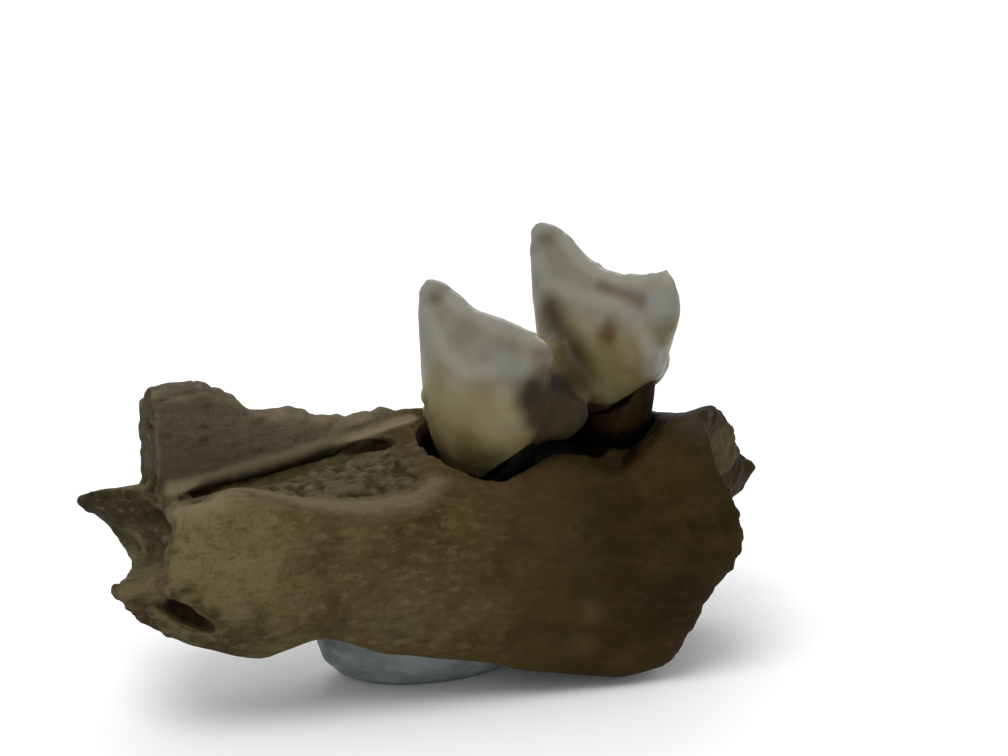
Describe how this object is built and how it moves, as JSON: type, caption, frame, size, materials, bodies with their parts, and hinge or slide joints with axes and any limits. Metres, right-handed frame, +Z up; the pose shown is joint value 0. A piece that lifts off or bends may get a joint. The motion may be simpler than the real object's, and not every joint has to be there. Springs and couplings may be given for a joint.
{
  "type": "kangaroo lower jaw fragment with one molar, fossil specimen",
  "caption": "Weathered piece of a kangaroo's lower jaw with a two-crested molar standing in its socket, propped on a small lump of putty.",
  "frame": {"origin": "middle of the box's underside, on the surface that the putty stands on", "axes": "+X along the jaw towards its front end, +Y away from the side that the picture shows, +Z up"},
  "size_m": [0.032, 0.0116, 0.0187],
  "materials": {
    "jaw_bone": "weathered brown fossil bone, matt with fine fibres",
    "molar_crown": "worn enamel, smooth and slightly shiny",
    "molar_root_back": "dark brown root, matt",
    "molar_root_front": "dark brown root, matt",
    "stand_putty": "soft blue-grey mounting putty, pressed by hand"
  },
  "bodies": {
    "root": {"jaw_bone": "jaw_bone", "molar_crown": "molar_crown", "molar_root_back": "molar_root_back", "molar_root_front": "molar_root_front", "stand_putty": "stand_putty"}
  },
  "joints": []
}
